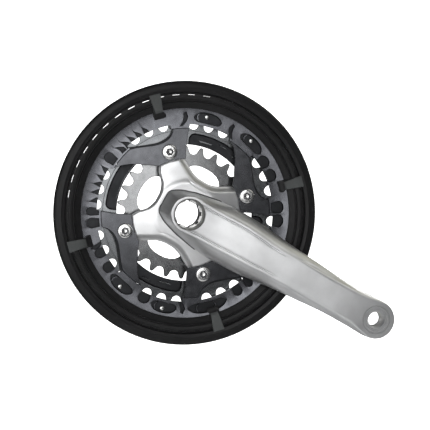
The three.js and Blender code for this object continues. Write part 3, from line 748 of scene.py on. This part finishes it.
def make_spider():
    steps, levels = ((720, 40))
    angles, edge = spider_edge(steps)
    near = SPIDER["bore"]
    share = np.linspace(0, 1, levels) ** 0.8
    radius = near + share[:, None] * (edge - near)
    rim = polar(edge, angles)
    height = smooth_value(SPIDER_BASE, radius)
    for which, bolt in enumerate(BOLT_ANGLES):
        middle = bolt + math.pi / 4
        away = np.abs((angles - middle + math.pi) % (2 * math.pi) - math.pi)
        side = rim[(away < math.radians(37)) & (edge < 44.1)]
        points = polar(radius, angles[None, :]).reshape(-1, 2)
        gap = np.full(len(points), 99.0)
        for start in range(0, len(points), 4000):
            chunk = points[start:start + 4000]
            gap[start:start + 4000] = np.linalg.norm(chunk[:, None] - side[None], axis=2).min(axis=1)
        gap = gap.reshape(radius.shape)
        mine = away[None, :] < math.radians(50)
        fade = 1 - smoothstep(math.radians(34), math.radians(46), away)[None, :]
        if FLANKED[which]:
            flank = 3.6 * (1 - smoothstep(0.6, 5.4, gap)) + 0.5 * (1 - smoothstep(0, 0.8, gap))
            near_middle = 1 - smoothstep(math.radians(20), math.radians(31), away)[None, :]
            groove = 0.22 * near_middle * np.exp(-((gap - 7.2) / 0.5) ** 2)
            height = height - np.where(mine, fade * (flank + groove), 0)
        else:
            height = height - np.where(mine, fade * 0.7 * (1 - smoothstep(0, 1.1, gap)), 0)
    end_gap = SPIDER["arm_end"] - radius
    height = height - 0.35 * (1 - smoothstep(0, 0.6, end_gap))
    top = np.dstack([polar(radius, angles[None, :]), height[..., None]])
    low = smooth_value([(17.3, 7), (24, 7), (27, 14.5), (60, 14.5)], edge)
    wall = [lifted(rim, height[-1] + (low - height[-1]) * t) for t in (0.5, 0.95)]
    under = [lifted(polar(edge - 0.4, angles), low)]
    under += [lifted(polar(np.full(steps, reach), angles), level)
              for reach, level in ((27, 14.5), (24, 7.3), (23.7, 7), (near, 7))]
    narrow = edge < 27.5
    for ring in under[:2]:
        ring[narrow, :2] = polar(np.minimum(edge[narrow] - 0.4, 27), angles[narrow])
    base = Shape().grid(np.array(list(top) + wall + under + [top[0]]))
    arm_bottom, arm_top = SPIDER["arm_bottom"], SPIDER["arm_top"]
    post_bottom = tooth_levels(INNER_RING)[1] + 0.3
    post = [(6.4, 15.5), (6.4, post_bottom + 0.4), (6.0, post_bottom)]
    bolt_hole = [(4.2, post_bottom - 1), (4.2, 13.2), (2.6, 14)]
    changes = []
    for bolt in BOLT_ANGLES:
        centre = polar(INNER_BOLT_RADIUS, bolt)
        changes += [join(Shape().slab(polar_outline(TONGUE, bolt), arm_bottom, arm_top)),
                    join(Shape().turned(post, 48, centre, closed=False)),
                    cut(Shape().turned(bolt_hole, 32, centre, closed=False)),
                    cut(hole_cutter(5.2, arm_bottom, arm_top, polar(BOLT_RADIUS, bolt)))]
    half = arm_edge(FOOT, 6, 8)
    foot = on_arm(whole_rings(lifted(half, 0)[None]))[0][:, :2]
    trench = inset(foot if signed_area(foot) > 0 else foot[::-1], -TRENCH_WIDTH)
    # The trench's faces take the second material, painted shade that draws a dark line where the arm meets
    # the spider.
    changes.append(cut(Shape().slab(trench, 25.9, 31, chamfer=0.1, finish=1)))
    return build("spider_star", base, changes, [SPIDER_SILVER, PAINTED_SHADE_DARK], 38)


# ------------------------------------------------------------------ crank arm

# Half widths of the arm at its foot and its face, as (along, across); the rest as (along, value).
FOOT = [(-21.8, 0), (-21.8, 5), (-21.2, 8.4), (-19, 10.8), (-13, 14.3), (-6, 16.6), (0, 18.4),
        (10, 20.3), (20, 22), (32, 23.3), (45, 23.3), (55, 22.9), (65, 22.1), (75, 21), (101, 18.4),
        (134, 16.1), (154, 15.9), (165, 16.1), (175, 16.4)]
FACE = [(-14.8, 0), (-14.6, 2.4), (-14.1, 4.9), (-12.9, 7.3), (-9.5, 11.3), (-5, 13.9), (0, 14.8),
        (7, 14.2), (16, 13.8), (30, 14), (45, 13.9), (55, 13.5), (65, 12.9), (75, 12.2), (101, 11.9),
        (134, 12.3), (154, 13), (165, 14.3), (175, 15.7)]
LEAN = [(5, 0), (30, 0.4), (45, 0.8), (55, 0.7), (65, 0.4), (85, 0)]     # the face leans to the upper side
UNDERSIDE = [(45, 28), (60, 29), (105, 33.2), (150, 37.4), (165, 38.5)]
PEDAL_FACE = 53.2
TOP = [(12, 42.6), (22, 43), (60, 46), (110, 49.7), (150, 52.7), (163, PEDAL_FACE)]
GROOVE = ((1.9, 0), (2.2, 0.1), (2.6, 0.85), (3.1, 0.85), (3.5, 0.12), (3.9, 0.02))    # inset, depth


def arm_edge(table, per_row, end_steps):
    """Half of an edge of the arm, from the boss end to the tip of the pedal end."""
    tip = arc(table[-1][1], math.pi / 2, 0, end_steps, (CRANK_LENGTH, 0))
    return np.concatenate([fine(table, per_row), tip])


def on_arm(flat):
    """Turns (along, across, height) rows into points in the crank plane."""
    cos, sin = math.cos(ARM_DIRECTION), math.sin(ARM_DIRECTION)
    along, across, height = flat[..., 0], flat[..., 1], flat[..., 2]
    return np.stack([along * cos - across * sin, along * sin + across * cos, height], axis=-1)


def arm_rings():
    """Half rings from the foot up the wall, round the edge of the face, over the groove to its middle."""
    per_row, end_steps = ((9, 22))
    foot, face = arm_edge(FOOT, per_row, end_steps), arm_edge(FACE, per_row, end_steps)
    low = lifted(foot, smooth_value(UNDERSIDE, foot[:, 0]))
    high = lifted(face, smooth_value(TOP, face[:, 0]))
    along = face[:, :1]
    size = (0.6 + 0.4 * smoothstep(8, 25, along) + 2.0 * smoothstep(85, 130, along)
            - 2.1 * smoothstep(155, 178, along))
    bulge = 2.3 * (smoothstep(4, 34, along) * (1 - smoothstep(105, 160, along)))
    fade = smoothstep(0, 9, along) * (1 - smoothstep(68, 90, along))
    wall = high - low
    down = -wall / np.linalg.norm(wall, axis=1, keepdims=True)
    spine = np.column_stack([np.clip(face[:, 0], 0, CRANK_LENGTH), np.zeros(len(face)), high[:, 2]])
    inward = spine - high
    inward /= np.maximum(np.linalg.norm(inward, axis=1, keepdims=True), 1e-9)
    up = np.array([0, 0, 1.0])
    corner = high - 0.15 * up
    rings = [low + 0.4 * inward, low, low + 0.5 * up]
    for t in (0.12, 0.25, 0.38, 0.5, 0.62, 0.73, 0.83, 0.91):
        point = low + t * wall - inward * bulge * math.sin(math.pi * t)
        near = np.linalg.norm(point - corner, axis=1, keepdims=True) < size * 1.3
        rings.append(np.where(near, corner + down * size * (1.02 + 0.3 * (0.91 - t)), point))
    start, end = corner + down * size, corner + inward * size
    for t in np.linspace(0, 1, 8):
        rings.append((1 - t) ** 2 * start + 2 * t * (1 - t) * corner + t * t * end)
    for inset_by, drop in GROOVE:
        rings.append(corner + inward * np.maximum(inset_by, size * 1.05) - up * drop * fade)
    first = np.maximum(4.1, size * 1.1)
    reach = np.linalg.norm(spine - corner, axis=1, keepdims=True)
    for t in (0.15, 0.35, 0.6, 0.85, 1.0):
        rings.append(corner + inward * (first + (reach - first) * t) + up * 0.15 * smoothstep(0, 1, t))
    return np.array(rings)


def whole_rings(half):
    """Mirrors half rings about the arm's centre line."""
    mirrored = half[:, 1:-1][:, ::-1] * np.array([1, -1, 1])
    return np.concatenate([half, mirrored], axis=1)


def lean(rings):
    """Shifts the upper levels of the arm sideways by the LEAN table."""
    along, height = rings[..., 0], rings[..., 2]
    low, high = smooth_value(UNDERSIDE, along), smooth_value(TOP, along)
    rings[..., 1] += smooth_value(LEAN, along) * np.clip((height - low) / (high - low), 0, 1)
    return rings


def strip_caps(rings):
    """Closes the first and last rings with strips across the arm."""
    count = rings.shape[1]
    last = (len(rings) - 1) * count
    faces = []
    for i in range(count // 2):
        a, b, c, d = i, i + 1, (count - i - 1) % count, (count - i) % count
        faces.append(tuple(dict.fromkeys((a, d, c, b))))
        faces.append(tuple(last + k for k in dict.fromkeys((a, b, c, d))))
    return [face for face in faces if len(face) > 2]


def thread_profile(radius, bottom, top, pitch, depth=0.45):
    """Side of a cutter that leaves rings of thread in a bore."""
    rows = []
    height = bottom
    while height < top - pitch:
        rows += [(radius - depth, height + 0.1 * pitch), (radius, height + 0.45 * pitch),
                 (radius, height + 0.6 * pitch), (radius - depth, height + 0.95 * pitch)]
        height += pitch
    return rows


def spline_cutter():
    """Star-shaped hole for the splined spindle."""
    minor, major = SPLINE["minor"], SPLINE["major"]
    outline = []
    for i in range(8):
        middle = 2 * math.pi * i / 8
        half = math.radians(8)
        outline.append(arc(minor, middle - math.pi / 8, middle - half - 0.035, 4))
        outline.append(arc(major, middle - half, middle + half, 5))
        outline.append(arc(minor, middle + half + 0.035, middle + math.pi / 8 - 0.06, 3))
    low, high = SPLINE["from"] - 0.5, SPLINE["to"] + 0.5
    # The splines take the arm's third material, painted shade that darkens the inside of the bore.
    return Shape().slab(np.concatenate(outline), low, high, chamfer=0.01, finish=2)


def bore_cuts():
    """The spindle bore from both sides: plain mouth, splines and extractor thread."""
    low, high = SPLINE["from"], SPLINE["to"]
    lower = [(14, -1), (13.4, 0), (12.6, 0.8), (12.6, low - 1.4), (11.4, low), (0.01, low)]
    upper = [(0.01, high), (11.4, high)] + thread_profile(11.7, 32, 40, 1, 0.25)
    upper += [(11.5, 40.2), (12.0, 40.9), (12.75, 42.2), (13.0, 42.9), (14, 44.6)]
    return [cut(Shape().turned(lower, 96, finish=1, closed=False)), cut(spline_cutter()),
            cut(Shape().turned(upper, 96, finish=1, closed=False))]


def pedal_cuts():
    """The threaded pedal hole, the sunk seat round its mouth and two turned rings."""
    centre = polar(CRANK_LENGTH, ARM_DIRECTION)
    seat = PEDAL_FACE - 0.5
    hole = [(7.6, 37.4), (7.3, 38.3), (6.6, 39.3)] + thread_profile(6.5, 39.6, 51.6, 1.27)
    hole += [(6.6, 51.7), (6.6, 55)]
    mouth = [(5, 51.6), (6.6, 51.6), (7.3, seat), (9.0, seat), (9.15, seat - 0.25), (9.5, seat - 0.25),
             (9.7, seat + 0.1), (9.75, 55)]
    cuts = [cut(Shape().turned(hole, 96, centre, finish=1, closed=False)),
            cut(Shape().turned(mouth, 96, centre, closed=False))]
    for radius in (8.2, 11.3):
        ring = [(radius - 0.4, 55), (radius - 0.4, 52.9), (radius, 52.3), (radius + 0.4, 52.9),
                (radius + 0.4, 55)]
        cuts.append(cut(Shape().turned(ring, 96, centre)))
    return cuts


def make_arm():
    rings = on_arm(lean(whole_rings(arm_rings())))
    base = Shape().grid(rings)
    base.faces.extend(strip_caps(rings))
    base.finish = [0] * len(base.faces)
    boss = Shape().turned([(17, 29), (17, 0.5), (16.5, 0)], 96, closed=False)
    steps = [join(boss)] + bore_cuts() + pedal_cuts()
    return build("arm_forging", base, steps, [ARM_SILVER, MACHINED, PAINTED_SHADE_DARK], 33)


finish_piece(make_spider(), "silver_spider", "spider")
finish_piece(make_arm(), "silver_arm", "crank_arm")


# ------------------------------------------------------------------ fasteners

def hexagon(across_flats, centre, turn=0.0):
    return arc(across_flats / 2 / math.cos(math.pi / 6), turn, turn + 2 * math.pi, 6, centre)[:-1]


def make_bolt(number, bolt):
    """Low domed head with a 5 mm key socket and a drill point at its bottom."""
    centre = polar(BOLT_RADIUS, bolt)
    bottom, top = 22.7, 24.7
    profile = [(3.6, 11), (4, 11.5), (4, bottom), (5.9, bottom), (6.15, bottom + 0.25),
               (6.15, bottom + 0.9), (6.05, bottom + 1.25), (5.75, bottom + 1.6), (5.3, bottom + 1.82),
               (4.6, top - 0.06), (3.4, top)]
    base = Shape().turned(profile, 64, centre, closed=False)
    # The socket's walls and floor take the second material, painted shade.
    socket = cutter(hexagon(5, centre, bolt + 0.35), top - 2.2, top - 0.05, 0.25, 0.0)
    drill = Shape().turned([(0.05, top - 3.0), (1.7, top - 2.3), (1.7, top - 1.8)], 32, centre, closed=False)
    return build(f"ring_bolt_{number}", base, [cut(socket), cut(drill)], [BRIGHT, PAINTED_SHADE_DARK])


def make_nut(number, bolt):
    """Sleeve nut from behind, with a slot for a pin wrench."""
    centre = polar(BOLT_RADIUS, bolt)
    seat = MIDDLE_BODY["bottom"] - 0.3
    profile = [(4.2, seat - 1.5), (6.1, seat - 1.5), (6.4, seat - 1.2), (6.4, seat), (4.9, seat), (4.9, 17.2),
               (4.7, 17.5), (4.2, 17.5)]
    base = Shape().turned(profile, 64, centre)
    along, across = polar(7.5, bolt), polar(0.8, bolt + math.pi / 2)
    slot = np.array([centre - along - across, centre + along - across, centre + along + across,
                     centre - along + across])
    notch = Shape().slab(slot, seat - 2.5, seat - 0.8, chamfer=0.02)
    return build(f"ring_nut_{number}", base, [cut(notch)], [BRIGHT])


def make_inner_bolt(number, bolt):
    """Round-headed bolt from the inboard side, with a 6 mm key socket."""
    centre = polar(INNER_BOLT_RADIUS, bolt)
    seat = tooth_levels(INNER_RING)[0] - 0.3
    bottom = seat - 2.6
    profile = [(3.6, bottom), (4.6, bottom + 0.1), (5.4, bottom + 0.45), (5.85, bottom + 1),
               (6, bottom + 1.6), (6, seat), (3.9, seat), (3.9, 12.6), (3.5, 13)]
    base = Shape().turned(profile, 64, centre, closed=False)
    levels = ((-0.3, bottom - 0.3), (0, bottom + 0.3), (0, bottom + 1.8))
    # The socket takes the second material, painted shade.
    socket = tapered(hexagon(6, centre, bolt), levels, 1)
    return build(f"granny_bolt_{number}", base, [cut(socket)], [BRIGHT, PAINTED_SHADE_DARK])


def make_pin(number, angle):
    centre = polar(PIN_RADIUS, angle)
    floor = BAND["floor"]
    profile = [(2.1, BAND["bottom"] - 2.6), (2.4, BAND["bottom"] - 2.2), (2.4, BAND["bottom"] - 0.3),
               (1.2, BAND["bottom"] - 0.3), (1.2, floor + 0.3), (2, floor + 0.3), (2, floor + 0.7),
               (1.75, floor + 1.1), (1.2, floor + 1.4)]
    return build(f"catch_pin_{number}", Shape().turned(profile, 40, centre, closed=False), [], [BRIGHT])


for number, bolt in zip(NUMBERS, BOLT_ANGLES):
    finish_piece(make_bolt(number, bolt), "bright_steel", f"chainring_bolt_{number}")
    finish_piece(make_nut(number, bolt), "bright_steel", f"chainring_nut_{number}")
    finish_piece(make_inner_bolt(number, bolt), "bright_steel", f"inner_ring_bolt_{number}")
for number, angle in zip(NUMBERS, CHAIN_PINS):
    finish_piece(make_pin(number, angle), "bright_steel", f"chain_pin_{number}")


# ------------------------------------------------------------------ chain guard and clips

GUARD_TOP = [(85.7, 23.7), (85.9, 24.0), (88, 25.0), (90.2, 26.0), (90.6, 26.7), (91.0, 26.9), (91.35, 26.5),
             (91.7, 25.7), (92.1, 25.7), (92.5, 26.1), (93, 26.3), (94.9, 26.5), (95.3, 26.5), (95.6, 26.2),
             (95.8, 26.2), (96.0, 26.2), (97.2, 26.2), (97.5, 25.9), (97.7, 25.4), (98.0, 25.4),
             (98.2, 25.9), (98.5, 27.0), (98.8, 27.4), (99.6, 27.6), (101.1, 27.85), (101.4, 28.0),
             (101.7, 27.85), (103.4, 27.75), (105.0, 27.45), (106.3, 27.05), (107.2, 26.4), (107.6, 25.7),
             (107.75, 25.0), (107.7, 24.4), (107.4, 23.9)]
GUARD_UNDER = [(106.4, 23.3), (105.4, 22.9), (104.6, 23.5), (103.4, 24.6), (102.9, 24.8), (97.9, 24.7),
               (97.6, 22.4), (95.6, 22.4), (95.3, 24.65), (92.2, 24.6), (91.4, 24.4), (89, 23.3),
               (87.4, 22.7), (85.9, 22.8), (85.65, 23.1)]

# The slots stand over the gaps between teeth. Those between two angles go through; the rest are blind.
SLOT = {"phase": 5.6, "inner": 96.4, "outer": 96.85, "half": 0.031, "floor": 24.7, "through": (75, 172)}
RIB = {"phase": 9.35, "inner": 92.0, "outer": 103.2, "bottom": 23.6, "top": 25.2}


def make_guard_piece():
    base = Shape().turned(GUARD_TOP + GUARD_UNDER, 480)
    slots, ribs = Shape(), Shape()
    for i in range(48):
        middle, half = math.radians(SLOT["phase"] + 7.5 * i), SLOT["half"]
        opens = SLOT["through"][0] < math.degrees(middle) < SLOT["through"][1]
        outline = np.concatenate([arc(SLOT["outer"], middle - half, middle + half, 8),
                                  arc(SLOT["inner"], middle + half, middle - half, 8)])
        slots.slab(outline, 20 if opens else SLOT["floor"], 30, chamfer=0.01)
    for i in range(24):
        middle = math.radians(RIB["phase"] + 15 * i)
        outline = np.concatenate([arc(RIB["outer"], middle - 0.006, middle + 0.006, 1),
                                  arc(RIB["inner"], middle + 0.007, middle - 0.007, 1)])
        ribs.slab(outline, RIB["bottom"], RIB["top"], chamfer=0.1)
    return build("guard_ring", base, [cut(slots), join(ribs)], [GUARD_BLACK], 25)


CLIP_SIDE = [(84.4, 26.2), (85.4, 27.2), (87, 27.8), (90, 28.2), (94, 28.3), (99.0, 28.3), (99.6, 28.05),
             (99.6, 27.8), (98.5, 27.6), (97.8, 27.1), (96, 26.95), (90, 26.9), (86.4, 26.3), (85.2, 25.6),
             (84.8, 24.4), (84.9, 22.9), (83.4, 22.72), (80.6, 22.72), (79.7, 23.2), (79.6, 24.0),
             (80.4, 24.8), (82.2, 25.2)]
# Levels across a clip: share of its half width, and how far its side is drawn in.
CLIP_LEVELS = ((-1, 0.35), (-0.96, 0.1), (-0.86, 0), (-0.5, 0), (0, 0), (0.5, 0), (0.86, 0), (0.96, 0.1),
               (1, 0.35))


def make_clip(number, bolt):
    """A tapered bar over the guard's inner face; its inner end hooks down onto the ring."""
    side = np.array(CLIP_SIDE)
    half = np.interp(side[:, 0], [79.5, 82, 84.4, 99.6], [4.6, 5.0, 3.2, 4.6])
    towards = side.mean(axis=0) - side
    towards /= np.linalg.norm(towards, axis=1, keepdims=True)
    cos, sin = math.cos(bolt), math.sin(bolt)
    rings = []
    for share, squeeze in CLIP_LEVELS:
        pulled, across = side + towards * squeeze, share * half
        rings.append(np.column_stack([pulled[:, 0] * cos - across * sin,
                                      pulled[:, 0] * sin + across * cos, pulled[:, 1]]))
    clip = build(f"clip_{number}", Shape().grid(rings, caps=True), [], [CLIP_GREY, GUARD_BLACK], 35)
    # Painted shade: the hooked inner end takes the near-black guard material in place of its shadow.
    for face in clip.data.polygons:
        at = face.center / MM
        if math.hypot(at.x, at.z) < 85.8 and -at.y < 26.4:
            face.material_index = 1
    return clip


finish_piece(make_guard_piece(), "guard_plastic", "chain_guard")
for number, bolt in zip(NUMBERS, BOLT_ANGLES):
    finish_piece(make_clip(number, bolt), "clip_plastic", f"guard_clip_{number}")


# ------------------------------------------------------------------ floor, backdrop and light

def add_stage():
    """A pale sweep: a floor that curves up into a backdrop, with a plain wall behind the lights."""
    floor_level, back, front = -0.30, 1.1, -2.2
    profile = [(front, 2.2), (front, floor_level)]
    for i in range(13):
        turn = math.radians(90 * i / 12)
        profile.append((back - 0.5 + 0.5 * math.sin(turn), floor_level + 0.5 - 0.5 * math.cos(turn)))
    profile.append((back, 2.2))
    points = [(x, y, z) for y, z in profile for x in (-2.6, 2.6)]
    faces = [(2 * i, 2 * i + 1, 2 * i + 3, 2 * i + 2) for i in range(len(profile) - 1)]
    mesh = bpy.data.meshes.new("sweep")
    mesh.from_pydata(points, [], faces)
    for face in mesh.polygons:
        face.use_smooth = True
    sweep = bpy.data.objects.new("sweep", mesh)
    paper = Nodes("paper")
    tone = paper.ramp(paper.noise(3, 2.0), [(0.3, (0.93, 0.93, 0.93)), (0.7, (0.95, 0.95, 0.95))])
    paper.link(tone, "Base Color")
    paper.uniform(roughness=0.9, specular=0.1)
    paper.shader.inputs["Emission Color"].default_value = (1, 1, 1, 1)
    paper.shader.inputs["Emission Strength"].default_value = 0.85
    mesh.materials.append(paper.material)
    bpy.context.scene.collection.objects.link(sweep)
    sweep.visible_glossy = False


def add_area(name, position, target, size, power, colour=(1, 1, 1)):
    data = bpy.data.lights.new(name, "AREA")
    data.shape = "RECTANGLE"
    data.size, data.size_y = size
    data.energy = power
    data.color = colour
    lamp = bpy.data.objects.new(name, data)
    lamp.location = position
    lamp.rotation_euler = (Vector(target) - Vector(position)).to_track_quat("-Z", "Y").to_euler()
    bpy.context.scene.collection.objects.link(lamp)


def glow(tree, direction, spread, colour):
    """A soft patch of light in the surroundings, `spread` degrees from its middle to its edge."""
    around = tree.nodes.new("ShaderNodeTexCoord").outputs["Generated"]
    dot = tree.nodes.new("ShaderNodeVectorMath")
    dot.operation = "DOT_PRODUCT"
    tree.links.new(around, dot.inputs[0])
    dot.inputs[1].default_value = Vector(direction).normalized()
    patch = tree.nodes.new("ShaderNodeMapRange")
    patch.interpolation_type = "SMOOTHSTEP"
    patch.inputs["From Min"].default_value = math.cos(math.radians(spread))
    tree.links.new(dot.outputs["Value"], patch.inputs["Value"])
    scale = tree.nodes.new("ShaderNodeVectorMath")
    scale.operation = "SCALE"
    scale.inputs[0].default_value = colour
    tree.links.new(patch.outputs["Result"], scale.inputs["Scale"])
    return scale.outputs["Vector"]


# Soft patches of the surroundings: direction, half width in degrees, colour.
GLOWS = [((0.62, 0.5, 0.62), 28, (0.24, 0.23, 0.16)), ((0.45, 0.85, 0.25), 40, (0.14, 0.135, 0.1)),
         ((0.66, 0.0, 0.75), 44, (0.5, 0.49, 0.44)), ((0.63, -0.42, 0.65), 22, (0.9, 0.9, 0.88)),
         ((-0.3, -0.2, -0.92), 48, (0.3, 0.3, 0.3)), ((-0.2, -0.55, -0.82), 22, (0.4, 0.4, 0.4)),
         ((0.68, 0.68, -0.26), 40, (0.2, 0.2, 0.2)),
         ((-0.26, 0.61, -0.74), 45, (0.35, 0.35, 0.35)), ((-0.71, 0.53, 0.44), 40, (0.06, 0.06, 0.06))]
AMBIENT = (0.068, 0.069, 0.072)


def add_light():
    world = bpy.data.worlds.new("studio")
    world.use_nodes = True
    tree = world.node_tree
    total = None
    for patch in GLOWS:
        both = tree.nodes.new("ShaderNodeVectorMath")
        tree.links.new(glow(tree, *patch), both.inputs[0])
        if total is None:
            both.inputs[1].default_value = AMBIENT
        else:
            tree.links.new(total, both.inputs[1])
        total = both.outputs["Vector"]
    tree.links.new(total, tree.nodes["Background"].inputs["Color"])
    bpy.context.scene.world = world
    add_area("key", (-0.30, -1.7, 0.41), (-0.30, 0, 0.41), (1.1, 1.08), 11.6)
    add_area("left panel", (-1.05, -1.7, 0.1), (-1.05, 0, 0.1), (1.0, 1.8), 13.1)
    add_area("low fill", (0.1, -1.2, -0.9), (0, 0, 0), (1.0, 0.6), 1.5)
    add_area("back panel", (1.0, 0.8, -0.03), (0, 0, 0), (0.9, 0.5), 11)
    bpy.context.scene.view_settings.view_transform = "Standard"


add_stage()
add_light()
